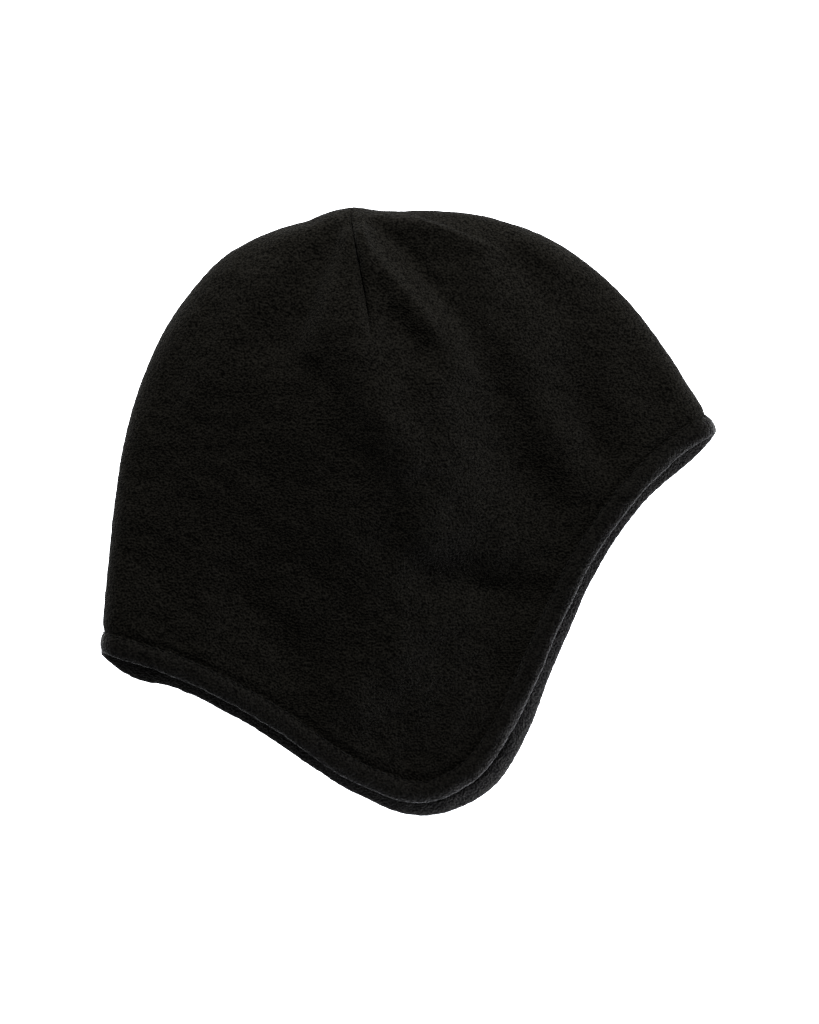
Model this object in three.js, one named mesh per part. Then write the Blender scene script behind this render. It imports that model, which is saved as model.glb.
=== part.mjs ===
// A fleece beanie with ear flaps, lying on its side with the wearer's right side up.
// Millimetres, +X towards the face, +Y towards the crown, +Z up. The origin is on the
// surface that the hat lies on, under the middle of its outline.
//
// Two pieces: crown is the shell of thin fleece with its two ear flaps, open below,
// and hem is the doubled band that is stitched along the whole open edge.

import * as THREE from "three";

// Outline of the flattened crown, measured to the seam between crown and hem
const frontToBack = 251;
const apexFromBack = 103.6;
const crownRise = 176.3;
const browRise = 90.6;
const flapFromBack = 131.6;
const flapDrop = 62.7;

// Cloth
const clothThickness = 2.2;
const hemThickness = 4.4;
const hemWidth = 9;
const hemProud = 0.4;
const seamGap = 0.3;

// How the hat lies: the roll is the radius, at mid-cloth, of the bend between its layers
const napeRoll = 7.5;
const crownRoll = 9;
const browRoll = 6.5;
const loft = 13;
const loftReach = 75;
const flapGap = 1.2;
const mouthLift = 8.5;
const lowerSlip = 5;

// Mesh
const rollColumns = 3;
const upperColumns = 18;
const lowerColumns = 11;
const rows = 28;
const hemSides = 10;
const curveSteps = 40;
const pathSteps = 8;

// The fold that outlines the lying hat, back half: from the nape up to the apex.
// across is a share of apexFromBack, up a share of crownRise.
const backFold = [
  { across: 0.0, up: 0.0 },
  { across: 0.026, up: 0.168 },
  { across: 0.052, up: 0.31 },
  { across: 0.09, up: 0.452 },
  { across: 0.16, up: 0.593 },
  { across: 0.271, up: 0.732 },
  { across: 0.463, up: 0.872 },
  { across: 0.588, up: 0.92 },
  { across: 0.705, up: 0.949 },
  { across: 0.823, up: 0.969 },
  { across: 0.903, up: 0.988 },
  { across: 1.0, up: 1.0 },
];

// Front half: from the apex down to the brow. across is a share of the way from the
// apex to the front, up a share of the way from the brow to the crown.
const frontFold = [
  { across: 0.074, up: 0.985 },
  { across: 0.116, up: 0.982 },
  { across: 0.216, up: 0.985 },
  { across: 0.33, up: 0.971 },
  { across: 0.415, up: 0.939 },
  { across: 0.543, up: 0.86 },
  { across: 0.67, up: 0.72 },
  { across: 0.784, up: 0.534 },
  { across: 0.884, up: 0.308 },
  { across: 0.955, up: 0.117 },
  { across: 1.0, up: 0.0 },
];

// The hem seam of the upper layer, back half: from the nape to the flap's tip.
// across is a share of flapFromBack, down a share of flapDrop. slip is how far the
// lower layer shows past the upper one there, as a share of lowerSlip.
const backSeam = [
  { across: 0.0, down: 0.0, slip: 0.0 },
  { across: 0.132, down: 0.082, slip: 1.3 },
  { across: 0.259, down: 0.172, slip: 1.0 },
  { across: 0.492, down: 0.418, slip: 0.95 },
  { across: 0.606, down: 0.57, slip: 0.9 },
  { across: 0.742, down: 0.775, slip: 0.85 },
  { across: 0.857, down: 0.912, slip: 0.9 },
  { across: 1.0, down: 1.0, slip: 1.15 },
];

// Front half: from the flap's tip to the brow. across is a share of the way from the
// tip to the front, up a share of the way from the tip to the brow.
const frontSeam = [
  { across: 0.088, up: 0.02, slip: 1.35 },
  { across: 0.183, up: 0.076, slip: 1.55 },
  { across: 0.28, up: 0.196, slip: 1.25 },
  { across: 0.374, up: 0.357, slip: 0.95 },
  { across: 0.512, up: 0.591, slip: 0.8 },
  { across: 0.6, up: 0.702, slip: 0.75 },
  { across: 0.699, up: 0.806, slip: 0.75 },
  { across: 0.793, up: 0.881, slip: 0.8 },
  { across: 0.892, up: 0.949, slip: 0.9 },
  { across: 1.0, up: 1.0, slip: 0.0 },
];

// How far the upper layer's hem stands open. along runs from 0 at the nape, over 0.5
// at the flap's tip, to 1 at the brow, and open is a share of mouthLift.
const mouth = [
  { along: 0.0, open: 0.85 },
  { along: 0.15, open: 0.8 },
  { along: 0.32, open: 0.35 },
  { along: 0.5, open: 0.0 },
  { along: 0.62, open: 0.12 },
  { along: 0.78, open: 0.7 },
  { along: 0.9, open: 1.0 },
  { along: 1.0, open: 0.65 },
];

// Soft ridges and dents of the upper layer: the height, the half width to the left and
// to the right as one walks the path, and the path, in shares of frontToBack and of
// crownRise
const folds = [
  {
    name: "cheek ridge",
    height: 3.6,
    left: 13,
    right: 15,
    path: [
      { across: 0.4, up: 0.78 },
      { across: 0.43, up: 0.6 },
      { across: 0.515, up: 0.4 },
      { across: 0.56, up: 0.24 },
    ],
  },
  {
    name: "cheek dent",
    height: -1.8,
    left: 8,
    right: 14,
    path: [
      { across: 0.373, up: 0.58 },
      { across: 0.433, up: 0.43 },
      { across: 0.475, up: 0.3 },
      { across: 0.49, up: 0.2 },
      { across: 0.535, up: 0.12 },
    ],
  },
  {
    name: "front dent",
    height: -2.2,
    left: 13,
    right: 12,
    path: [
      { across: 0.439, up: 0.967 },
      { across: 0.506, up: 0.872 },
      { across: 0.578, up: 0.745 },
      { across: 0.64, up: 0.559 },
      { across: 0.72, up: 0.313 },
    ],
  },
  {
    name: "front tuck",
    height: 2.4,
    left: 4,
    right: 8,
    path: [
      { across: 0.418, up: 0.985 },
      { across: 0.495, up: 0.865 },
      { across: 0.56, up: 0.74 },
      { across: 0.6, up: 0.62 },
    ],
  },
  {
    name: "brow ridge",
    height: 1.6,
    left: 10,
    right: 9,
    path: [
      { across: 0.62, up: 0.85 },
      { across: 0.66, up: 0.768 },
      { across: 0.712, up: 0.578 },
      { across: 0.752, up: 0.445 },
      { across: 0.788, up: 0.351 },
    ],
  },
  {
    name: "brow dent",
    height: -2.2,
    left: 12,
    right: 8,
    path: [
      { across: 0.67, up: 0.881 },
      { across: 0.73, up: 0.796 },
      { across: 0.78, up: 0.654 },
      { across: 0.825, up: 0.43 },
    ],
  },
  {
    name: "crown dimple",
    height: -1.2,
    left: 6,
    right: 6,
    path: [
      { across: 0.49, up: 0.73 },
      { across: 0.525, up: 0.66 },
    ],
  },
  {
    name: "ear crease",
    height: -2.2,
    left: 8,
    right: 12,
    path: [
      { across: 0.55, up: 0.15 },
      { across: 0.639, up: 0.105 },
      { across: 0.72, up: 0.085 },
    ],
  },
  {
    name: "back swell",
    height: 2,
    left: 13,
    right: 14,
    path: [
      { across: 0.33, up: 0.93 },
      { across: 0.25, up: 0.8 },
      { across: 0.2, up: 0.62 },
    ],
  },
  {
    name: "back dent",
    height: -3.6,
    left: 7,
    right: 16,
    path: [
      { across: 0.388, up: 0.919 },
      { across: 0.35, up: 0.787 },
      { across: 0.3, up: 0.673 },
    ],
  },
  {
    name: "back ridge",
    height: 1.8,
    left: 6,
    right: 5,
    path: [
      { across: 0.4, up: 0.92 },
      { across: 0.375, up: 0.785 },
      { across: 0.345, up: 0.673 },
    ],
  },
  {
    name: "flap swell",
    height: 2,
    left: 14,
    right: 16,
    path: [
      { across: 0.42, up: -0.1 },
      { across: 0.56, up: -0.03 },
    ],
  },
  {
    name: "nape dent",
    height: -1,
    left: 8,
    right: 8,
    path: [
      { across: 0.2, up: 0.142 },
      { across: 0.306, up: -0.028 },
    ],
  },
];

const apex = new THREE.Vector3(apexFromBack, crownRise, 0);
const lowerMid = clothThickness / 2;
const closedLift = 2 * hemThickness + flapGap - clothThickness / 2;

const mix = (a, b, share) => a + (b - a) * share;
const smooth = (share) => THREE.MathUtils.smoothstep(share, 0, 1);

// A smooth curve in the XY plane through the points, and the share of its length at
// which it passes one of them.
function outline(points, middle) {
  const curve = new THREE.CatmullRomCurve3(points, false, "centripetal");
  curve.arcLengthDivisions = curveSteps * (points.length - 1);
  const lengths = curve.getLengths();
  const share = lengths[curveSteps * points.indexOf(middle)] / curve.getLength();
  return { curve, share };
}

function foldOutline() {
  const back = backFold
    .slice(0, -1)
    .map((row) => new THREE.Vector3(row.across * apexFromBack, row.up * crownRise, 0));
  const front = frontFold.map(
    (row) =>
      new THREE.Vector3(
        mix(apexFromBack, frontToBack, row.across),
        mix(browRise, crownRise, row.up),
        0,
      ),
  );
  return outline([...back, apex, ...front], apex);
}

// The hem seam, moved out of the hat's outline by each row's share of slip.
function seamOutline(slip) {
  const back = backSeam.map(
    (row) => new THREE.Vector3(row.across * flapFromBack, -row.down * flapDrop, 0),
  );
  const front = frontSeam.map(
    (row) =>
      new THREE.Vector3(
        mix(flapFromBack, frontToBack, row.across),
        mix(-flapDrop, browRise, row.up),
        0,
      ),
  );
  const points = [...back, ...front];
  const plain = new THREE.CatmullRomCurve3(points, false, "centripetal");
  const shares = [...backSeam, ...frontSeam].map((row) => row.slip);
  const moved = points.map((point, i) => {
    const tangent = plain.getTangent(i / (points.length - 1));
    const outward = new THREE.Vector3(tangent.y, -tangent.x, 0);
    return point.clone().addScaledVector(outward, shares[i] * slip);
  });
  return outline(moved, moved[back.length - 1]);
}

// The straight pieces of a curve, count of them.
function linePieces(curve, count) {
  const samples = curve.getPoints(count);
  return samples.slice(1).map((sample, i) => new THREE.Line3(samples[i], sample));
}

const fold = foldOutline();
const foldPieces = linePieces(fold.curve, 12 * curveSteps);
const upperSeam = seamOutline(0);
const lowerSeam = seamOutline(lowerSlip);

const backEdge = (down) => fold.curve.getPointAt(fold.share * (1 - down));
const frontEdge = (down) => fold.curve.getPointAt(mix(fold.share, 1, down));

// A point of one layer in plan. half is "back" or "front", across runs from the fold
// (0) to the line from apex to flap tip (1), down from the apex (0) to the seam (1).
function plan(seam, half, across, down) {
  const edge = half === "back" ? backEdge : frontEdge;
  const start = half === "back" ? 0 : 1;
  const seamAt = (share) => seam.curve.getPointAt(mix(start, seam.share, share));
  const corner = seamAt(0);
  const tip = seamAt(1);
  const middle = apex.clone().lerp(tip, down);
  const bow = seamAt(across).sub(corner.lerp(tip, across)).multiplyScalar(down);
  return edge(down).lerp(middle, across).add(bow);
}

// The distance from a plan point to the nearest of the pieces, and how far it lies to
// one side, from -1 right of it to 1 left of it.
function nearestPiece(pieces, point) {
  const nearest = new THREE.Vector3();
  let best = { distance: Infinity, side: 0 };
  for (const piece of pieces) {
    const distance = piece.closestPointToPoint(point, true, nearest).distanceTo(point);
    if (distance >= best.distance) continue;
    const gap = point.clone().sub(nearest).normalize();
    const along = piece.delta(new THREE.Vector3()).normalize();
    best = { distance, side: along.cross(gap).z };
  }
  return best;
}

function fromTable(table, key, value, at) {
  const next = Math.max(1, table.findIndex((row) => row[key] >= at));
  const [a, b] = [table[next - 1], table[next]];
  return mix(a[value], b[value], smooth((at - a[key]) / (b[key] - a[key])));
}

const foldRows = folds.map((row) => {
  const points = row.path.map(
    ({ across, up }) => new THREE.Vector3(across * frontToBack, up * crownRise, 0),
  );
  const curve = new THREE.CatmullRomCurve3(points, false, "centripetal");
  return { ...row, pieces: linePieces(curve, pathSteps * (points.length - 1)) };
});

function foldHeight(point) {
  let total = 0;
  for (const { height, left, right, pieces } of foldRows) {
    const { distance, side } = nearestPiece(pieces, point);
    total += height * Math.exp(-((distance / mix(right, left, (1 + side) / 2)) ** 2));
  }
  return total;
}

// A point at mid-cloth. layer is 1 for the upper layer, -1 for the lower.
function clothPoint(layer, half, across, down) {
  const point = plan(layer > 0 ? upperSeam : lowerSeam, half, across, down);
  const fromFold = across === 0 ? 0 : nearestPiece(foldPieces, point).distance;
  const endRoll = half === "back" ? napeRoll : browRoll;
  const roll = mix(mix(crownRoll, endRoll, down), crownRoll, across);
  const rollShare = Math.min(fromFold / roll, 1);
  const round = Math.sqrt(1 - (1 - rollShare) ** 2);
  point.z = lowerMid + roll * (1 + layer * round);
  if (layer > 0) {
    const along = half === "back" ? across / 2 : 1 - across / 2;
    const seamLift = closedLift + mouthLift * fromTable(mouth, "along", "open", along);
    const dome = 1 - (1 - Math.min(fromFold / loftReach, 1)) ** 2;
    const settle = smooth((down - 0.3) / 0.7);
    const drop = (seamLift - lowerMid - 2 * roll) * round;
    const soft = smooth(fromFold / (2 * crownRoll));
    point.z += mix(loft * dome, drop, settle) + foldHeight(point.clone().setZ(0)) * soft;
  }
  return point;
}

// Shares across one half of a layer, from the fold to the line under the apex, closer
// together towards that line, where the seam turns round the flap's tip.
function columnShares(layerColumns) {
  const rollShare = 0.06;
  const shares = [];
  for (let i = 0; i < rollColumns; i += 1)
    shares.push(rollShare * (1 - Math.cos(((i / rollColumns) * Math.PI) / 2)));
  for (let i = 0; i <= layerColumns; i += 1)
    shares.push(mix(rollShare, 1, 1 - (1 - i / layerColumns) ** 1.35));
  return shares;
}

// The columns of the crown, once round: up the back half of the upper layer, down its
// front half, and home along the lower layer.
function columnsRound() {
  const upper = columnShares(upperColumns);
  const lower = columnShares(lowerColumns);
  const column = (layer, half) => (across) => ({ layer, half, across });
  return [
    ...upper.slice(0, -1).map(column(1, "back")),
    ...upper.slice(1).reverse().map(column(1, "front")),
    ...lower.slice(0, -1).map(column(-1, "front")),
    ...lower.slice(1).reverse().map(column(-1, "back")),
  ];
}

function sheetGeometry(points, triangles) {
  const geometry = new THREE.BufferGeometry().setFromPoints(points);
  geometry.setIndex(triangles);
  geometry.computeVertexNormals();
  return geometry;
}

// The crown at mid-cloth: vertex 0 is the apex, then one ring of columns for each row.
function crownSheet() {
  const columns = columnsRound();
  const n = columns.length;
  const points = [clothPoint(1, "back", 0, 0)];
  for (let row = 1; row <= rows; row += 1) {
    const down = (row / rows) ** 1.15;
    for (const { layer, half, across } of columns)
      points.push(clothPoint(layer, half, across, down));
  }
  const triangles = [];
  for (let i = 0; i < n; i += 1) triangles.push(0, 1 + i, 1 + ((i + 1) % n));
  for (let row = 1; row < rows; row += 1)
    for (let i = 0; i < n; i += 1) {
      const a = 1 + (row - 1) * n + i;
      const b = 1 + (row - 1) * n + ((i + 1) % n);
      triangles.push(a, a + n, b, b, a + n, b + n);
    }
  return { geometry: sheetGeometry(points, triangles), ring: n };
}

const sheet = crownSheet();

// The wall on both sides of the sheet, closed along the seam.
function crownGeometry() {
  const position = sheet.geometry.getAttribute("position");
  const normal = sheet.geometry.getAttribute("normal");
  const faces = [...sheet.geometry.index.array];
  const n = sheet.ring;
  const count = position.count;
  const points = [];
  for (const side of [1, -1])
    for (let i = 0; i < count; i += 1) {
      const offset = new THREE.Vector3().fromBufferAttribute(normal, i);
      const point = new THREE.Vector3().fromBufferAttribute(position, i);
      points.push(point.addScaledVector(offset, (side * clothThickness) / 2));
    }
  const triangles = [...faces];
  for (let i = 0; i < faces.length; i += 3)
    triangles.push(faces[i] + count, faces[i + 2] + count, faces[i + 1] + count);
  const first = count - n;
  for (let i = 0; i < n; i += 1) {
    const a = first + i;
    const b = first + ((i + 1) % n);
    triangles.push(a, a + count, b, b, a + count, b + count);
  }
  return sheetGeometry(points, triangles);
}

// The hem's section: out is the distance past the crown's edge, off the height over
// mid-cloth, towards the outside of the hat. proud lifts it over the crown's face.
function hemSection(proud) {
  const face = clothThickness / 2 + proud;
  const middle = face - hemThickness / 2;
  const points = [];
  for (let i = 0; i < hemSides; i += 1) {
    const angle = ((i + 0.5) / hemSides) * 2 * Math.PI;
    const bulge = (value) => Math.sign(value) * Math.abs(value) ** 0.55;
    points.push({
      out: mix(seamGap, hemWidth, (1 + bulge(Math.cos(angle))) / 2),
      off: middle + (hemThickness / 2) * bulge(Math.sin(angle)),
    });
  }
  return points;
}

function hemGeometry() {
  const position = sheet.geometry.getAttribute("position");
  const normal = sheet.geometry.getAttribute("normal");
  const n = sheet.ring;
  const first = position.count - n;
  const at = (attribute, i) =>
    new THREE.Vector3().fromBufferAttribute(attribute, first + ((i + n) % n));
  const points = [];
  for (let i = 0; i < n; i += 1) {
    const up = at(normal, i);
    const along = at(position, i + 1).sub(at(position, i - 1)).normalize();
    const out = along.clone().cross(up).normalize();
    const proud = hemProud * smooth((up.z + 1) / 2);
    for (const section of hemSection(proud))
      points.push(
        at(position, i).addScaledVector(out, section.out).addScaledVector(up, section.off),
      );
  }
  const triangles = [];
  for (let i = 0; i < n; i += 1)
    for (let k = 0; k < hemSides; k += 1) {
      const a = i * hemSides + k;
      const b = i * hemSides + ((k + 1) % hemSides);
      const c = ((i + 1) % n) * hemSides + k;
      const d = ((i + 1) % n) * hemSides + ((k + 1) % hemSides);
      triangles.push(a, c, b, b, c, d);
    }
  return sheetGeometry(points, triangles);
}

function fleece(colour) {
  return new THREE.MeshStandardMaterial({ color: colour, roughness: 0.97, metalness: 0 });
}

const hat = new THREE.Group();
const crown = new THREE.Mesh(crownGeometry(), fleece(0x141312));
crown.name = "crown";
const hem = new THREE.Mesh(hemGeometry(), fleece(0x161517));
hem.name = "hem";
hat.add(crown, hem);

// The origin goes under the middle of the outline.
const box = new THREE.Box3().setFromObject(hat, true);
const middle = box.getCenter(new THREE.Vector3());
for (const mesh of [crown, hem]) mesh.position.set(-middle.x, -middle.y, -box.min.z);

export default hat;
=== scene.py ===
"""An earflap beanie of thin black fleece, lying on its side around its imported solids.

The hat's lengths are millimetres up to the point where a mesh is made. Meshes, lights,
the table and the camera are in metres. +X is towards the face, +Y towards the crown, +Z
up. A plan point is measured from the nape end of the hem's seam, as the part's own sizes
are.
"""

from collections import namedtuple

import bpy
import numpy as np
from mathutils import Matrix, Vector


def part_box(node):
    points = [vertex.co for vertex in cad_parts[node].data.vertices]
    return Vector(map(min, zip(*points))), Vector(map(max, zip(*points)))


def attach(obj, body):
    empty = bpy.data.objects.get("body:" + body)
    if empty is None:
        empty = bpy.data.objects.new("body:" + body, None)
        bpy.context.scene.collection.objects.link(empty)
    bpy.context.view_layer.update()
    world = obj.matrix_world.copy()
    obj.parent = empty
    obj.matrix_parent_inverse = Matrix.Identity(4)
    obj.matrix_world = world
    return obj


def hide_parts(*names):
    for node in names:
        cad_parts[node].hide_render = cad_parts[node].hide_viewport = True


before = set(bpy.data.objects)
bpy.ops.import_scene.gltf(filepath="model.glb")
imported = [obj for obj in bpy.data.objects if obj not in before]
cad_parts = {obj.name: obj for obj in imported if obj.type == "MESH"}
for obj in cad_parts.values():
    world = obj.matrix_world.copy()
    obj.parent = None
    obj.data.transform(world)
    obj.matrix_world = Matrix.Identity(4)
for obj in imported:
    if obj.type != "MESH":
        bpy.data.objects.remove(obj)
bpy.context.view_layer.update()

MM = 0.001

# The two layers of the lying hat, by the way that each lies from the middle of their fold
UPPER = 1
LOWER = -1

Across = namedtuple("Across", "across up")
Seam = namedtuple("Seam", "across drop slip")
Mouth = namedtuple("Mouth", "along open")
Fold = namedtuple("Fold", "height left right path")
Ripple = namedtuple("Ripple", "height wavelength seed")
Section = namedtuple("Section", "out off")
Peak = namedtuple("Peak", "where width more")
Stations = namedtuple("Stations", "point out face along")

# Outline of the flattened crown, measured to the seam between crown and hem
FRONT_TO_BACK = 251
APEX_FROM_BACK = 103.6
CROWN_RISE = 176.3
BROW_RISE = 90.6
FLAP_FROM_BACK = 131.6
FLAP_DROP = 62.7

# Cloth
CLOTH = 2.2
HEM_THICKNESS = 4.4
HEM_WIDTH = 9

# How the hat lies: the roll is the radius, at mid-cloth, of the bend between its layers.
# Past ARCH_SHARE of the way down, the upper layer settles from its arch to its hem.
NAPE_ROLL = 7.5
CROWN_ROLL = 9
BROW_ROLL = 6.5
LOFT = 13
LOFT_REACH = 75
FLAP_GAP = 1.2
MOUTH_LIFT = 8.5
LOWER_SLIP = 5
ARCH_SHARE = 0.3
LOWER_MID = CLOTH / 2
CLOSED_LIFT = 2 * HEM_THICKNESS + FLAP_GAP - CLOTH / 2

# Mesh: columns across half a layer, first those round the fold, which take ROLL_SHARE of
# the way, then the others, which stand closer together where a peak says
CURVE_STEPS = 24
ROLL_SHARE = 0.06
ROLL_COLUMNS = 7
UPPER_COLUMNS = 104
UPPER_PEAKS = [Peak(where=1.0, width=0.045, more=3.5), Peak(where=0.1, width=0.12, more=0.8)]
LOWER_COLUMNS = 48
LOWER_PEAKS = [Peak(where=1.0, width=0.08, more=2)]
ROWS = 164
ROW_PEAKS = [Peak(where=1.0, width=0.03, more=3), Peak(where=0.0, width=0.06, more=1)]
SPREAD_STEPS = 6000

# The hem's stations are found from many columns along the seam and a row just inside it
SEAM_COLUMNS = 700
SEAM_ROLL_COLUMNS = 60
SEAM_PEAKS = [Peak(where=0.0, width=0.02, more=4)]
JUST_INSIDE = 0.985
FACE_SMOOTHINGS = 6
HEM_STATIONS = 1100
HEM_SIDES = 38

# The fold that outlines the lying hat, from the nape up to the apex: shares of
# APEX_FROM_BACK and of CROWN_RISE
BACK_FOLD = [
    Across(0.0, 0.0),
    Across(0.026, 0.168),
    Across(0.052, 0.31),
    Across(0.09, 0.452),
    Across(0.16, 0.593),
    Across(0.271, 0.732),
    Across(0.463, 0.872),
    Across(0.588, 0.92),
    Across(0.705, 0.949),
    Across(0.823, 0.969),
    Across(0.903, 0.988),
    Across(1.0, 1.0),
]

# From the apex down to the brow: shares of the way to the front, and of the way from
# the brow up to the crown
FRONT_FOLD = [
    Across(0.074, 0.985),
    Across(0.116, 0.982),
    Across(0.216, 0.985),
    Across(0.33, 0.971),
    Across(0.415, 0.939),
    Across(0.543, 0.86),
    Across(0.67, 0.72),
    Across(0.784, 0.534),
    Across(0.884, 0.308),
    Across(0.955, 0.117),
    Across(1.0, 0.0),
]

# The hem's seam on the upper layer, from the nape to the flap's tip: shares of
# FLAP_FROM_BACK and FLAP_DROP. slip is how far the lower layer shows past it there, as
# a share of LOWER_SLIP.
BACK_SEAM = [
    Seam(0.0, 0.0, 0.0),
    Seam(0.132, 0.082, 1.3),
    Seam(0.259, 0.172, 1.0),
    Seam(0.492, 0.418, 0.95),
    Seam(0.606, 0.57, 0.9),
    Seam(0.742, 0.775, 0.85),
    Seam(0.857, 0.912, 0.9),
    Seam(1.0, 1.0, 1.15),
]

# From the flap's tip to the brow: shares of the way to the front, and of the way up
FRONT_SEAM = [
    Seam(0.088, 0.02, 1.35),
    Seam(0.183, 0.076, 1.55),
    Seam(0.28, 0.196, 1.25),
    Seam(0.374, 0.357, 0.95),
    Seam(0.512, 0.591, 0.8),
    Seam(0.6, 0.702, 0.75),
    Seam(0.699, 0.806, 0.75),
    Seam(0.793, 0.881, 0.8),
    Seam(0.892, 0.949, 0.9),
    Seam(1.0, 1.0, 0.0),
]

# How far the upper layer's hem stands open, as a share of MOUTH_LIFT, from the nape (0)
# over the flap's tip (0.5) to the brow (1)
MOUTH = [
    Mouth(0.0, 0.85),
    Mouth(0.15, 0.8),
    Mouth(0.32, 0.35),
    Mouth(0.5, 0.0),
    Mouth(0.62, 0.12),
    Mouth(0.78, 0.7),
    Mouth(0.9, 1.0),
    Mouth(1.0, 0.65),
]

# Soft ridges and dents of the upper layer: the height, the half width on either side as
# one walks the path, and the path, in shares of FRONT_TO_BACK and of CROWN_RISE
FOLDS = {
    "cheek ridge": Fold(height=3.6, left=13, right=15, path=[
        Across(0.4, 0.78),
        Across(0.43, 0.6),
        Across(0.515, 0.4),
        Across(0.56, 0.24),
    ]),
    "cheek dent": Fold(height=-1.8, left=8, right=14, path=[
        Across(0.373, 0.58),
        Across(0.433, 0.43),
        Across(0.475, 0.3),
        Across(0.49, 0.2),
        Across(0.535, 0.12),
    ]),
    "front dent": Fold(height=-2.2, left=13, right=12, path=[
        Across(0.439, 0.967),
        Across(0.506, 0.872),
        Across(0.578, 0.745),
        Across(0.64, 0.559),
        Across(0.72, 0.313),
    ]),
    "front tuck": Fold(height=2.4, left=4, right=8, path=[
        Across(0.418, 0.985),
        Across(0.495, 0.865),
        Across(0.56, 0.74),
        Across(0.6, 0.62),
    ]),
    "brow ridge": Fold(height=1.6, left=10, right=9, path=[
        Across(0.62, 0.85),
        Across(0.66, 0.768),
        Across(0.712, 0.578),
        Across(0.752, 0.445),
        Across(0.788, 0.351),
    ]),
    "brow dent": Fold(height=-2.2, left=12, right=8, path=[
        Across(0.67, 0.881),
        Across(0.73, 0.796),
        Across(0.78, 0.654),
        Across(0.825, 0.43),
    ]),
    "crown dimple": Fold(height=-1.2, left=6, right=6, path=[
        Across(0.49, 0.73),
        Across(0.525, 0.66),
    ]),
    "ear crease": Fold(height=-2.2, left=8, right=12, path=[
        Across(0.55, 0.15),
        Across(0.639, 0.105),
        Across(0.72, 0.085),
    ]),
    "back swell": Fold(height=2, left=13, right=14, path=[
        Across(0.33, 0.93),
        Across(0.25, 0.8),
        Across(0.2, 0.62),
    ]),
    "back dent": Fold(height=-3.6, left=7, right=16, path=[
        Across(0.388, 0.919),
        Across(0.35, 0.787),
        Across(0.3, 0.673),
    ]),
    "back ridge": Fold(height=1.8, left=6, right=5, path=[
        Across(0.4, 0.92),
        Across(0.375, 0.785),
        Across(0.345, 0.673),
    ]),
    "flap swell": Fold(height=2, left=14, right=16, path=[
        Across(0.42, -0.1),
        Across(0.56, -0.03),
    ]),
    "nape dent": Fold(height=-1, left=8, right=8, path=[
        Across(0.2, 0.142),
        Across(0.306, -0.028),
    ]),
}

# Dart seams, from the apex outwards: shares of FRONT_TO_BACK and of CROWN_RISE
SIDE_DART = [
    Across(0.413, 1.0),
    Across(0.4113, 0.978),
    Across(0.4195, 0.9075),
    Across(0.431, 0.817),
    Across(0.4394, 0.744),
    Across(0.444, 0.685),
]
FRONT_DART = [
    Across(0.43, 1.0),
    Across(0.4725, 0.993),
    Across(0.524, 0.97),
    Across(0.58, 0.941),
    Across(0.64, 0.905),
    Across(0.71, 0.862),
]
BACK_DART = [
    Across(0.395, 0.995),
    Across(0.333, 0.966),
    Across(0.29, 0.938),
    Across(0.256, 0.908),
]

# The dart that faces up: the cloth dips along its seam and puffs beside it, and the seam
# cuts a groove into the outer face
DART_DIP = 1.2
DART_DIP_WIDTH = 1.8
DART_PUFF = 0.7
DART_PUFF_OFF = 3.6
DART_PUFF_WIDTH = 2.6
DART_GROOVE = 1.5
DART_GROOVE_WIDTH = 0.55

# The two darts near the outline: a ridge along the seam, and past it a step down
EDGE_RIDGE = 1.9
EDGE_RIDGE_INSIDE = 5
EDGE_RIDGE_OUTSIDE = 3.5
EDGE_STEP = 1.8
EDGE_STEP_RUN = 1.3
EDGE_STEP_REACH = 11

# Finer relief, in rows like those of FOLDS: what the darts pull out of the cloth from the
# apex, and how it sags and swells between the larger folds. Each rises over RISE_WIDTHS of
# its own half width at the start of its path and fades over the last FADE_SHARE of it.
RISE_WIDTHS = 1.5
FADE_SHARE = 0.45
FINE_FOLDS = {
    "front": Fold(height=3.6, left=3.3, right=7, path=[
        Across(0.419, 0.965),
        Across(0.435, 0.905),
        Across(0.472, 0.84),
        Across(0.512, 0.772),
        Across(0.552, 0.698),
        Across(0.59, 0.61),
    ]),
    "front sag": Fold(height=-2, left=5, right=4, path=[
        Across(0.44, 0.98),
        Across(0.497, 0.892),
        Across(0.545, 0.81),
        Across(0.59, 0.7),
    ]),
    "back": Fold(height=0.8, left=5, right=2.2, path=[
        Across(0.405, 0.935),
        Across(0.371, 0.81),
        Across(0.338, 0.69),
    ]),
    "brow sag": Fold(height=-1.3, left=8, right=8, path=[
        Across(0.565, 0.91),
        Across(0.61, 0.85),
        Across(0.666, 0.749),
        Across(0.72, 0.65),
        Across(0.778, 0.531),
        Across(0.812, 0.408),
        Across(0.83, 0.3),
    ]),
    "cheek sag": Fold(height=-1.8, left=11, right=11, path=[
        Across(0.5, 0.42),
        Across(0.53, 0.34),
        Across(0.555, 0.25),
        Across(0.575, 0.15),
        Across(0.59, 0.05),
    ]),
    "cheek": Fold(height=2.4, left=11, right=10, path=[
        Across(0.53, 0.66),
        Across(0.55, 0.56),
        Across(0.575, 0.465),
        Across(0.602, 0.37),
        Across(0.628, 0.26),
        Across(0.65, 0.15),
        Across(0.665, 0.03),
    ]),
    "flap sag": Fold(height=-1.8, left=11, right=11, path=[
        Across(0.64, 0.06),
        Across(0.57, -0.03),
        Across(0.48, -0.08),
    ]),
    "flap swell": Fold(height=1.4, left=12, right=12, path=[
        Across(0.36, -0.1),
        Across(0.43, -0.17),
        Across(0.5, -0.21),
    ]),
}

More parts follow.
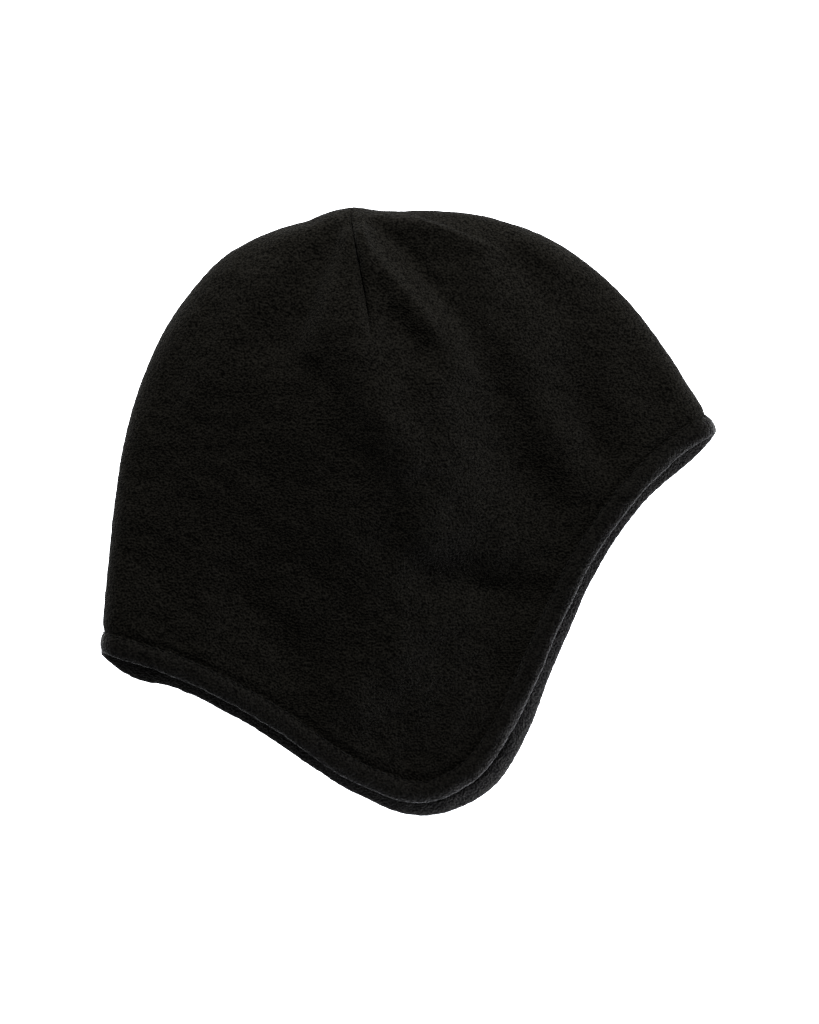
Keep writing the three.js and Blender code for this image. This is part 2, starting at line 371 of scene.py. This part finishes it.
# The hem's section, from the stitched groove outside, round the edge, to the raw edge
# of the turned-in cloth: shares of HEM_WIDTH and of HEM_THICKNESS, off from mid-cloth
HEM_SECTION = [
    Section(-0.05, 0.03),
    Section(0.0, 0.08),
    Section(0.05, 0.14),
    Section(0.12, 0.205),
    Section(0.22, 0.265),
    Section(0.36, 0.305),
    Section(0.52, 0.305),
    Section(0.68, 0.26),
    Section(0.82, 0.175),
    Section(0.93, 0.05),
    Section(0.98, -0.1),
    Section(0.93, -0.28),
    Section(0.76, -0.44),
    Section(0.58, -0.55),
    Section(0.4, -0.63),
    Section(0.22, -0.65),
    Section(0.06, -0.56),
    Section(0.0, -0.5),
    Section(-0.07, -0.55),
    Section(-0.17, -0.6),
    Section(-0.26, -0.53),
    Section(-0.27, -0.38),
    Section(-0.18, -0.275),
    Section(-0.06, -0.262),
]

# How the cloth is drawn in along the hem's seam, and how the stitches pucker the hem
SEAM_PINCH = 0.95
SEAM_PINCH_WIDTH = 2.4
PUCKER = 0.2
PUCKER_OUT = 0.5
PUCKER_WIDTH = 1.1

# The upper layer's fine relief rises over these distances, from none at the outline's
# fold and from a share of its height at the hem's seam
DETAIL_FROM_FOLD = 5
DETAIL_FROM_SEAM = 6
DETAIL_AT_SEAM = 0.25

# Uneven cloth, from long waves to the pebble of the fleece
RIPPLE_WAVES = 9
RIPPLE_SHORTEST = 0.75
RIPPLE_LONGEST = 1.4
CLOTH_RIPPLES = [
    Ripple(height=0.3, wavelength=34, seed=11),
    Ripple(height=0.14, wavelength=13, seed=12),
]
CROWN_PEBBLE = [
    Ripple(height=0.06, wavelength=3.1, seed=21),
    Ripple(height=0.04, wavelength=5.2, seed=22),
]
INNER_PEBBLE_SHARE = 0.5
HEM_PUFF = Ripple(height=0.05, wavelength=17, seed=31)
HEM_WAVE = Ripple(height=0.16, wavelength=24, seed=32)
HEM_PEBBLE = [
    Ripple(height=0.05, wavelength=2.9, seed=33),
    Ripple(height=0.03, wavelength=4.8, seed=34),
]

# Stitches: their middle rises by the arch, and their blunt ends sink into the cloth
STITCH_PITCH = 3.2
STITCH_LENGTH = 2.3
STITCH_ARCH = 0.32
STITCH_SINK = 0.22
THREAD = 0.45
THREAD_BLUNTNESS = 0.05
THREAD_RINGS = 7
THREAD_SIDES = 6

# Camera, framed as the photograph: millimetres for each of its pixels, and its rows
PIXEL = 0.4177
PHOTO_ROWS = 1024


def mix(a, b, share):
    return a + (b - a) * share


def smooth(share):
    share = np.clip(share, 0, 1)
    return share * share * (3 - 2 * share)


def bell(distance, width):
    return np.exp(-((distance / width) ** 2))


def faded(along, start, end):
    """1 along a path, but it rises from 0 over the share start of it and falls back to 0
    over the share end."""
    return smooth(along / start) * smooth((1 - along) / end)


def smooth_line(points, closed=False):
    """A centripetal Catmull-Rom line, CURVE_STEPS points for each span."""
    points = np.asarray(points, float)
    if closed:
        points = np.vstack([points[-1:], points, points[:2]])
    else:
        first, last = 2 * points[0] - points[1], 2 * points[-1] - points[-2]
        points = np.vstack([first, points, last])
    line = []
    for a, b, c, d in zip(points, points[1:], points[2:], points[3:]):
        ta = 0
        tb = ta + np.linalg.norm(b - a) ** 0.5
        tc = tb + np.linalg.norm(c - b) ** 0.5
        td = tc + np.linalg.norm(d - c) ** 0.5
        t = np.linspace(tb, tc, CURVE_STEPS, endpoint=False)[:, None]
        ab = mix(a, b, (t - ta) / (tb - ta))
        bc = mix(b, c, (t - tb) / (tc - tb))
        cd = mix(c, d, (t - tc) / (td - tc))
        abc = mix(ab, bc, (t - ta) / (tc - ta))
        bcd = mix(bc, cd, (t - tb) / (td - tb))
        line.append(mix(abc, bcd, (t - tb) / (tc - tb)))
    if not closed:
        line.append(points[-2:-1])
    return np.vstack(line)


class Outline:
    """A smooth line in plan, read by the share of its length."""

    def __init__(self, points, middle):
        self.line = smooth_line(points)
        steps = np.linalg.norm(np.diff(self.line, axis=0), axis=1)
        length = np.concatenate([[0], np.cumsum(steps)])
        self.shares = length / length[-1]
        self.middle = self.shares[CURVE_STEPS * middle]

    def at(self, share):
        return np.stack([np.interp(share, self.shares, column) for column in self.line.T], -1)


def fold_outline():
    back = [(row.across * APEX_FROM_BACK, row.up * CROWN_RISE) for row in BACK_FOLD]
    front = [
        (
            mix(APEX_FROM_BACK, FRONT_TO_BACK, row.across),
            mix(BROW_RISE, CROWN_RISE, row.up),
        )
        for row in FRONT_FOLD
    ]
    return Outline(back + front, len(back) - 1)


def seam_outline(slip):
    """The hem's seam, moved out of the outline by each row's share of slip."""
    back = [(row.across * FLAP_FROM_BACK, -row.drop * FLAP_DROP) for row in BACK_SEAM]
    front = [
        (
            mix(FLAP_FROM_BACK, FRONT_TO_BACK, row.across),
            mix(-FLAP_DROP, BROW_RISE, row.drop),
        )
        for row in FRONT_SEAM
    ]
    points = np.array(back + front)
    line = smooth_line(points)
    tangent = np.gradient(line, axis=0)[::CURVE_STEPS]
    tangent /= np.linalg.norm(tangent, axis=1, keepdims=True)
    outward = np.stack([tangent[:, 1], -tangent[:, 0]], axis=1)
    shares = np.array([row.slip for row in BACK_SEAM + FRONT_SEAM])
    return Outline(points + outward * shares[:, None] * slip, len(back) - 1)


fold = fold_outline()
seams = {UPPER: seam_outline(0), LOWER: seam_outline(LOWER_SLIP)}
apex = np.array([APEX_FROM_BACK, CROWN_RISE])


def line_of(rows):
    """A smooth line in plan from rows of shares of FRONT_TO_BACK and CROWN_RISE."""
    return smooth_line([(r.across * FRONT_TO_BACK, r.up * CROWN_RISE) for r in rows])


def nearest(line, points):
    """For each point: its distance to the line, the share of the line's length where it
    comes nearest, and how far it lies to one side, from -1 right of it to 1 left of it."""
    tiny = 1e-6
    flat = points.reshape(-1, 2)
    steps = np.diff(line, axis=0)
    lengths = np.linalg.norm(steps, axis=1)
    starts = np.concatenate([[0], np.cumsum(lengths)])
    best = np.full(len(flat), np.inf)
    along = np.zeros(len(flat))
    side = np.zeros(len(flat))
    for start, step, length, before in zip(line, steps, lengths, starts):
        offset = flat - start
        share = np.clip(offset @ step / length**2, 0, 1)
        gap = offset - share[:, None] * step
        distance = np.hypot(gap[:, 0], gap[:, 1])
        nearer = distance < best
        best[nearer] = distance[nearer]
        along[nearer] = (before + share * length)[nearer] / starts[-1]
        turn = (step[0] * gap[:, 1] - step[1] * gap[:, 0]) / length
        side[nearer] = (turn / np.maximum(distance, tiny))[nearer]
    shape = points.shape[:-1]
    return best.reshape(shape), along.reshape(shape), side.reshape(shape)


def ripple(points, row):
    """A smooth random field of about the row's height over plan or space points."""
    draw = np.random.default_rng(row.seed)
    field = np.zeros(points.shape[:-1])
    for _ in range(RIPPLE_WAVES):
        direction = draw.normal(size=points.shape[-1])
        direction /= np.linalg.norm(direction)
        length = row.wavelength * draw.uniform(RIPPLE_SHORTEST, RIPPLE_LONGEST)
        phase = draw.uniform(0, 2 * np.pi)
        field += np.sin(points @ direction * 2 * np.pi / length + phase)
    return row.height * (field * (2 / RIPPLE_WAVES) ** 0.5)


def ripples(points, rows):
    return sum(ripple(points, row) for row in rows)


def across_fold(row, distance, side):
    """A fold's height by the distance from its path, to the left or right of it."""
    return row.height * bell(distance, mix(row.right, row.left, (1 + side) / 2))


def even_fold(row, point):
    """A ridge or dent that keeps its height along its whole path, over plan points."""
    distance, _, side = nearest(line_of(row.path), point)
    return across_fold(row, distance, side)


def fading_fold(row, point):
    """A ridge or dent that rises and fades along its path, over plan points."""
    line = line_of(row.path)
    length = np.linalg.norm(np.diff(line, axis=0), axis=1).sum()
    distance, along, side = nearest(line, point)
    start = RISE_WIDTHS * min(row.left, row.right) / length
    return across_fold(row, distance, side) * faded(along, start, FADE_SHARE)


def side_dart(point):
    """The height of the cloth beside the dart that faces up, over plan points."""
    distance, along, _ = nearest(line_of(SIDE_DART), point)
    dip = -DART_DIP * bell(distance, DART_DIP_WIDTH)
    puff = DART_PUFF * bell(distance - DART_PUFF_OFF, DART_PUFF_WIDTH)
    return (dip + puff) * faded(along, start=0.06, end=0.25)


def dart_groove(point):
    """How deep that dart's seam cuts into the outer face, over plan points."""
    distance, along, _ = nearest(line_of(SIDE_DART), point)
    return DART_GROOVE * bell(distance, DART_GROOVE_WIDTH) * faded(along, start=0.06, end=0.1)


def edge_dart(rows, point, outer_side):
    """The height of the cloth round a dart near the outline. outer_side is 1 where the
    outline lies left of its path and -1 where it lies right."""
    distance, along, side = nearest(line_of(rows), point)
    inside = np.minimum(distance * side * outer_side, 0)
    outside = np.maximum(distance * side * outer_side, 0)
    ridge = EDGE_RIDGE * bell(inside, EDGE_RIDGE_INSIDE) * bell(outside, EDGE_RIDGE_OUTSIDE)
    step = -EDGE_STEP * smooth(outside / EDGE_STEP_RUN) * bell(outside, EDGE_STEP_REACH)
    return (ridge + step) * faded(along, start=0.12, end=0.5)


def upper_detail(point):
    """Fine heights of the upper layer over plan points."""
    height = side_dart(point)
    height += edge_dart(FRONT_DART, point, 1)
    height += edge_dart(BACK_DART, point, -1)
    height += sum(fading_fold(row, point) for row in FINE_FOLDS.values())
    height += ripples(point, CLOTH_RIPPLES)
    return height


def plan_point(layer, half, across, down):
    """A plan point of one layer. across runs from the fold (0) to the line under the
    apex (1), down from the apex (0) to the seam (1)."""
    seam = seams[layer]
    if half == "back":
        edge, start = fold.at(fold.middle * (1 - down)), 0
    else:
        edge, start = fold.at(mix(fold.middle, 1, down)), 1
    corner, tip = seam.at(start), seam.at(seam.middle)
    across, down = across[..., None], down[..., None]
    bow = seam.at(mix(start, seam.middle, across[..., 0])) - mix(corner, tip, across)
    return mix(edge, mix(apex, tip, down), across) + bow * down


def seam_lift(half, across):
    """The upper layer's height at its seam."""
    along = across / 2 if half == "back" else 1 - across / 2
    places = [row.along for row in MOUTH]
    opens = [row.open for row in MOUTH]
    after = np.clip(np.searchsorted(places, along), 1, len(MOUTH) - 1)
    a, b = np.take(places, after - 1), np.take(places, after)
    share = smooth((along - a) / (b - a))
    opening = mix(np.take(opens, after - 1), np.take(opens, after), share)
    return CLOSED_LIFT + MOUTH_LIFT * opening


def cloth_points(layer, half, across, down):
    """Points at mid-cloth of one half of a layer, a row for each down."""
    across, down = np.meshgrid(across, down)
    point = plan_point(layer, half, across, down)
    from_fold = nearest(fold.line, point)[0]
    from_fold[across == 0] = 0
    end_roll = NAPE_ROLL if half == "back" else BROW_ROLL
    roll = mix(mix(CROWN_ROLL, end_roll, down), CROWN_ROLL, across)
    rounded = np.sqrt(1 - (1 - np.minimum(from_fold / roll, 1)) ** 2)
    z = LOWER_MID + roll * (1 + layer * rounded)
    if layer == UPPER:
        dome = 1 - (1 - np.minimum(from_fold / LOFT_REACH, 1)) ** 2
        drop = (seam_lift(half, across) - LOWER_MID - 2 * roll) * rounded
        settle = smooth((down - ARCH_SHARE) / (1 - ARCH_SHARE))
        relief = sum(even_fold(row, point) for row in FOLDS.values())
        soft = smooth(from_fold / (2 * CROWN_ROLL))
        z += mix(LOFT * dome, drop, settle) + relief * soft
        off_fold = smooth(from_fold / DETAIL_FROM_FOLD)
        off_seam = smooth(nearest(seams[UPPER].line, point)[0] / DETAIL_FROM_SEAM)
        z += upper_detail(point) * off_fold * mix(DETAIL_AT_SEAM, 1, off_seam)
    return np.concatenate([point, z[..., None]], axis=-1)


def cloth_grid(upper, lower, down):
    """Rows of points once round the hat: up the back half of the upper layer, down its
    front half, and home along the lower layer."""
    return np.concatenate(
        [
            cloth_points(UPPER, "back", upper[:-1], down),
            cloth_points(UPPER, "front", upper[:0:-1], down),
            cloth_points(LOWER, "front", lower[:-1], down),
            cloth_points(LOWER, "back", lower[:0:-1], down),
        ],
        axis=1,
    )


def spread(count, peaks):
    """count + 1 shares from 0 to 1, closer together round each peak."""
    fine = np.linspace(0, 1, SPREAD_STEPS + 1)
    density = 1 + sum(peak.more * bell(fine - peak.where, peak.width) for peak in peaks)
    total = np.concatenate([[0], np.cumsum((density[1:] + density[:-1]) / 2)])
    return np.interp(np.linspace(0, 1, count + 1), total / total[-1], fine)


def column_shares(count, roll_columns, peaks):
    """Shares across half a layer: close together round the fold, then spread."""
    turn = np.linspace(0, np.pi / 2, roll_columns, endpoint=False)
    rest = mix(ROLL_SHARE, 1, spread(count, peaks))
    return np.concatenate([ROLL_SHARE * (1 - np.cos(turn)), rest])


def frame_offset():
    """From a plan point to the frame: the crown's box gives where the nape end lies."""
    low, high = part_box("crown")
    return np.array([low[0] / MM + CLOTH / 2, high[1] / MM - CLOTH / 2 - CROWN_RISE, 0])


to_frame = frame_offset()


def add_object(name, data):
    added = bpy.data.objects.new(name, data)
    bpy.context.scene.collection.objects.link(added)
    return added


def mesh_object(name, points, faces, material):
    """A smooth shaded piece from points in the hat's own millimetres."""
    mesh = bpy.data.meshes.new(name)
    mesh.from_pydata(((points + to_frame) * MM).tolist(), [], faces)
    mesh.validate()
    mesh.shade_smooth()
    mesh.materials.append(material)
    return add_object(name, mesh)


def on_floor(points):
    """The points, with none of them under the surface that the hat lies on."""
    points[..., 2] = np.maximum(points[..., 2], 0)
    return points


def band_faces(here, there, count):
    """Quads between two closed rows of count points, each given by its first point."""
    return [
        (here + i, there + i, there + (i + 1) % count, here + (i + 1) % count)
        for i in range(count)
    ]


def ring_faces(rows, count, first=0):
    """Quads between closed rows of count points that follow each other."""
    faces = []
    for here in range(first, first + (rows - 1) * count, count):
        faces += band_faces(here, here + count, count)
    return faces


def fan_faces(centre, first, count):
    return [(centre, first + i, first + (i + 1) % count) for i in range(count)]


def flipped(faces):
    return [tuple(reversed(face)) for face in faces]


def normals_of(points, faces):
    mesh = bpy.data.meshes.new("scratch")
    mesh.from_pydata(points.tolist(), [], faces)
    mesh.update()
    normals = np.zeros(len(points) * 3)
    mesh.vertex_normals.foreach_get("vector", normals)
    bpy.data.meshes.remove(mesh)
    return normals.reshape(-1, 3)


def round_lengths(points):
    """How far along a closed line each of its points lies, and then its whole length."""
    steps = np.linalg.norm(np.diff(np.vstack([points, points[:1]]), axis=0), axis=1)
    return np.concatenate([[0], np.cumsum(steps)])


def read_round(values, lengths, places):
    """Values given at the points of a closed line, read at other places along it."""
    values = np.vstack([values, values[:1]])
    return np.stack([np.interp(places, lengths, column) for column in values.T], -1)


def seam_distance(plan):
    return np.minimum(*(nearest(seams[layer].line, plan)[0] for layer in (UPPER, LOWER)))


def make_crown(material):
    """The fleece wall: an outer face, an inner face on every second row, and the edge
    between them, which is tucked into the hem."""
    upper = column_shares(UPPER_COLUMNS, ROLL_COLUMNS, UPPER_PEAKS)
    lower = column_shares(LOWER_COLUMNS, ROLL_COLUMNS, LOWER_PEAKS)
    grid = cloth_grid(upper, lower, spread(ROWS, ROW_PEAKS)[1:])
    rows, count = grid.shape[:2]
    top = np.concatenate([apex, [LOWER_MID + CROWN_ROLL]])
    points = np.vstack([top, grid.reshape(-1, 3)])
    faces = fan_faces(0, 1, count) + ring_faces(rows, count, 1)
    normals = normals_of(points, faces)

    plan = points[:, :2]
    pinch = bell(seam_distance(plan), SEAM_PINCH_WIDTH)
    groove = dart_groove(plan) * (points[:, 2] > top[2])
    pebble = ripples(points, CROWN_PEBBLE) * (1 - pinch)
    raised = CLOTH / 2 - SEAM_PINCH * pinch - groove + pebble
    outer = on_floor(points + normals * raised[:, None])
    inner = points - normals * (CLOTH / 2 + INNER_PEBBLE_SHARE * pebble)[:, None]

    inner_rows = np.arange(rows - 1, -1, -2)[::-1]
    kept = 1 + inner_rows[:, None] * count + np.arange(count)
    inner = inner[np.concatenate([[0], kept.ravel()])]
    base = len(outer)
    faces += flipped(fan_faces(base, base + 1, count))
    faces += flipped(ring_faces(len(inner_rows), count, base + 1))
    outer_edge = 1 + (rows - 1) * count
    inner_edge = base + 1 + (len(inner_rows) - 1) * count
    faces += band_faces(outer_edge, inner_edge, count)
    crown = mesh_object("fleece_crown", np.vstack([outer, inner]), faces, material)
    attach(crown, "root")
    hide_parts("crown")


def hem_stations():
    """Places evenly spaced along the seam once round: a point, the directions out of the
    edge and out of the hat's face, and how far along it lies."""
    shares = column_shares(SEAM_COLUMNS, SEAM_ROLL_COLUMNS, SEAM_PEAKS)
    seam, inside = cloth_grid(shares, shares, np.array([1.0, JUST_INSIDE]))
    lengths = round_lengths(seam)
    places = np.linspace(0, lengths[-1], HEM_STATIONS, endpoint=False)
    point = read_round(seam, lengths, places)
    inward = read_round(inside - seam, lengths, places)
    along = np.roll(point, -1, 0) - np.roll(point, 1, 0)
    face = np.cross(along, inward)
    for _ in range(FACE_SMOOTHINGS):
        face = (np.roll(face, 1, 0) + 2 * face + np.roll(face, -1, 0)) / 4
    face /= np.linalg.norm(face, axis=1, keepdims=True)
    out = np.cross(along, face)
    out /= np.linalg.norm(out, axis=1, keepdims=True)
    return Stations(point, out, face, places)


def make_hem(material, stations):
    """The doubled band: puffed between its edge and the stitched groove."""
    outline = [(row.out * HEM_WIDTH, row.off * HEM_THICKNESS) for row in HEM_SECTION]
    section = smooth_line(outline, closed=True)
    lengths = round_lengths(section)
    places = np.linspace(0, lengths[-1], HEM_SIDES, endpoint=False)
    pucker = (1 + np.cos(2 * np.pi * stations.along / STITCH_PITCH)) / 2
    puff = ripple(stations.point, HEM_PUFF)
    wave = ripple(stations.point, HEM_WAVE)
    sides = []
    for out, off in read_round(section, lengths, places):
        loose = smooth(out / HEM_WIDTH)
        dip = PUCKER * pucker * bell(out - PUCKER_OUT, PUCKER_WIDTH)
        outward = (out + wave * loose)[:, None] * stations.out
        raised = (off * (1 + puff * loose) - dip)[:, None] * stations.face
        sides.append(on_floor(stations.point + outward + raised))
    points = np.stack(sides, axis=1)
    away = points - points.mean(axis=1, keepdims=True)
    away /= np.linalg.norm(away, axis=2, keepdims=True)
    points = on_floor(points + away * ripples(points, HEM_PEBBLE)[..., None])
    faces = ring_faces(HEM_STATIONS, HEM_SIDES)
    faces += band_faces((HEM_STATIONS - 1) * HEM_SIDES, 0, HEM_SIDES)
    hem = mesh_object("fleece_hem", points.reshape(-1, 3), flipped(faces), material)
    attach(hem, "root")
    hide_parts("hem")


def make_stitches(name, stations, out, off, material):
    """A row of short threads out and off from the seam, sunk into the cloth at their ends."""
    spacing = stations.along[1]
    count = round((stations.along[-1] + spacing) / STITCH_PITCH)
    pitch = (stations.along[-1] + spacing) / count
    line = on_floor(stations.point + out * stations.out + off * stations.face)
    share = np.linspace(0, 1, THREAD_RINGS)
    arch = STITCH_ARCH * np.sin(np.pi * share) - STITCH_SINK
    rounding = np.maximum(1 - (2 * share - 1) ** 4, THREAD_BLUNTNESS)
    radius = THREAD / 2 * np.sqrt(rounding)
    angle = np.linspace(0, 2 * np.pi, THREAD_SIDES, endpoint=False)[:, None]
    points, faces = [], []
    for stitch in range(count):
        places = (stitch * pitch + share * STITCH_LENGTH) / spacing
        index = places.astype(int) % HEM_STATIONS
        after = (index + 1) % HEM_STATIONS
        middle = mix(line[index], line[after], (places % 1)[:, None])
        base = stitch * THREAD_RINGS * THREAD_SIDES
        for ring, place in enumerate(index):
            outward, face = stations.out[place], stations.face[place]
            spokes = np.cos(angle) * outward + np.sin(angle) * face
            points.append(middle[ring] + face * arch[ring] + spokes * radius[ring])
        faces += flipped(ring_faces(THREAD_RINGS, THREAD_SIDES, base))
        first_end = range(base, base + THREAD_SIDES)
        faces.append(tuple(reversed(first_end)))
        faces.append(tuple(i + (THREAD_RINGS - 1) * THREAD_SIDES for i in first_end))
    thread = mesh_object(name, on_floor(np.vstack(points)), faces, material)
    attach(thread, "root")


def set_inputs(node, values):
    """Set a node's own sockets. An underscore in a name stands for a space."""
    for name, value in values.items():
        node.inputs[name.replace("_", " ")].default_value = value


class Nodes:
    """A short way to build a material's node tree."""

    def __init__(self, name, **shading):
        self.material = bpy.data.materials.new(name)
        self.material.use_nodes = True
        self.tree = self.material.node_tree
        self.shader = self.tree.nodes["Principled BSDF"]
        set_inputs(self.shader, shading)

    def add(self, kind, **values):
        node = self.tree.nodes.new("ShaderNode" + kind)
        set_inputs(node, values)
        return node

    def texture(self, kind, **values):
        """A texture in the piece's own metres."""
        node = self.add(kind, **values)
        coordinates = self.add("TexCoord").outputs["Object"]
        self.tree.links.new(coordinates, node.inputs["Vector"])
        return node.outputs["Fac"]

    def bump(self, height, **values):
        """Relief by the height, over a distance in metres."""
        node = self.add("Bump", **values)
        self.tree.links.new(height, node.inputs["Height"])
        self.tree.links.new(node.outputs["Normal"], self.shader.inputs["Normal"])

    def colour(self, factor, dark, light, start=0.0, end=1.0):
        """Colour from dark to light as the factor goes from start to end."""
        node = self.add("ValToRGB")
        first, last = node.color_ramp.elements
        first.position, first.color = start, (*dark, 1)
        last.position, last.color = end, (*light, 1)
        self.tree.links.new(factor, node.inputs["Fac"])
        self.tree.links.new(node.outputs["Color"], self.shader.inputs["Base Color"])


def fleece_material(name, dark, light, fuzz):
    """Matt black fleece: short curled nap in the bump, and a random tone that follows the same
    curls, paler on their tips as painted highlight and darker between them as painted shade.
    fuzz is the weight of the soft gleam that its loose fibres give where it turns away."""
    nodes = Nodes(
        name, Roughness=1.0, Specular_IOR_Level=0.02, Sheen_Weight=fuzz, Sheen_Roughness=0.4
    )
    curls = nodes.texture("TexNoise", Scale=1200.0, Detail=0.0, Distortion=0.0)
    nodes.bump(curls, Strength=1.0, Distance=0.00055)
    # The colour follows the curls' height: painted highlight on their tips, painted shade in the
    # hollows between them
    nodes.colour(curls, dark, light, start=0.24, end=0.76)
    return nodes.material


def thread_material():
    """Black twisted thread."""
    nodes = Nodes("black_thread", Roughness=0.8, Specular_IOR_Level=0.04)
    twist = nodes.texture("TexWave", Scale=900.0, Distortion=1.0, Detail=1.0)
    nodes.bump(twist, Strength=0.5, Distance=0.0001)
    # The colour follows the twist's height: painted shade in its grooves, paler on its raised
    # strands
    nodes.colour(twist, dark=(0.002, 0.002, 0.002), light=(0.006, 0.006, 0.006))
    return nodes.material


def make_floor():
    """A white table, lit from inside, just under the hat."""
    reach, drop = 8.0, 0.0003
    nodes = Nodes(
        "white_table",
        Base_Color=(0.8, 0.8, 0.8, 1),
        Roughness=0.8,
        Specular_IOR_Level=0.1,
        Emission_Color=(0.95, 0.97, 1, 1),
        Emission_Strength=3.0,
    )
    corners = [(x * reach, y * reach, -drop) for x, y in ((-1, -1), (1, -1), (1, 1), (-1, 1))]
    mesh = bpy.data.meshes.new("table")
    mesh.from_pydata(corners, [], [(0, 1, 2, 3)])
    mesh.materials.append(nodes.material)
    table = add_object("table", mesh)


def make_light(name, azimuth, elevation, distance, size, power, colour):
    """A soft box that looks at the hat's middle, placed by angles in degrees."""
    around, above = np.radians([azimuth, elevation])
    light = bpy.data.lights.new(name, "AREA")
    light.shape = "DISK"
    light.size = size
    light.energy = power
    light.color = colour
    holder = add_object(name, light)
    holder.location = distance * np.array(
        [np.cos(above) * np.cos(around), np.cos(above) * np.sin(around), np.sin(above)]
    )
    direction = -holder.location.normalized()
    holder.rotation_euler = direction.to_track_quat("-Z", "Y").to_euler()


def make_strip(name, centre, azimuth, length, power):
    """A low strip of light that stands on the table beside the hat and looks level at its
    open edge. azimuth is the side of the hat that it stands on, in degrees round it."""
    height = 0.012
    light = bpy.data.lights.new(name, "AREA")
    light.shape = "RECTANGLE"
    light.size, light.size_y = length, height
    light.energy = power
    light.color = (0.88, 0.9, 1)
    strip = add_object(name, light)
    strip.location = (*centre, height / 2)
    strip.rotation_euler = (np.pi / 2, 0, np.radians(azimuth + 90))
    strip.visible_camera = False


def make_studio():
    """A white room, a key light past the crown, a cool one low past the face and strips
    of light along the open edge."""
    world = bpy.data.worlds.new("studio")
    world.use_nodes = True
    set_inputs(world.node_tree.nodes["Background"], {"Color": (1, 1, 1, 1), "Strength": 0.13})
    bpy.context.scene.world = world
    bpy.context.scene.view_settings.view_transform = "Standard"
    make_light(
        "key", azimuth=84, elevation=31, distance=1.6, size=0.5, power=35.5, colour=(1, 0.98, 0.94)
    )
    make_light(
        "rim", azimuth=-10, elevation=5, distance=1.3, size=0.3, power=12, colour=(0.9, 0.92, 1)
    )
    make_strip("brow_strip", centre=(0.103, -0.07), azimuth=-36, length=0.22, power=0.34)
    make_strip("flap_strip", centre=(0.012, -0.158), azimuth=-82, length=0.07, power=0.035)
    make_strip("nape_strip", centre=(-0.085, -0.126), azimuth=-119, length=0.16, power=0.035)


def make_camera():
    """Straight above the hat, half a pixel off its middle in both directions."""
    distance, focus_height = 1.7, 0.009
    camera = bpy.data.cameras.new("camera")
    camera.sensor_fit = "VERTICAL"
    camera.sensor_height = 24
    camera.lens = camera.sensor_height * distance / (PHOTO_ROWS * PIXEL * MM)
    holder = add_object("camera", camera)
    holder.location = (PIXEL * MM / 2, PIXEL * MM / 2, focus_height + distance)
    bpy.context.scene.camera = holder


make_camera()
make_floor()
make_studio()
stations = hem_stations()
fleece = fleece_material(
    "black_fleece", dark=(0.0012, 0.0011, 0.0009), light=(0.0115, 0.0108, 0.0092), fuzz=0.02
)
hem_fleece = fleece_material(
    "black_hem", dark=(0.0012, 0.0011, 0.001), light=(0.0104, 0.0099, 0.0088), fuzz=0.12
)
black_thread = thread_material()
make_crown(fleece)
make_hem(hem_fleece, stations)
make_stitches("outer_stitches", stations, out=0.05, off=0.42, material=black_thread)
make_stitches("inner_stitches", stations, out=0.0, off=-2.25, material=black_thread)
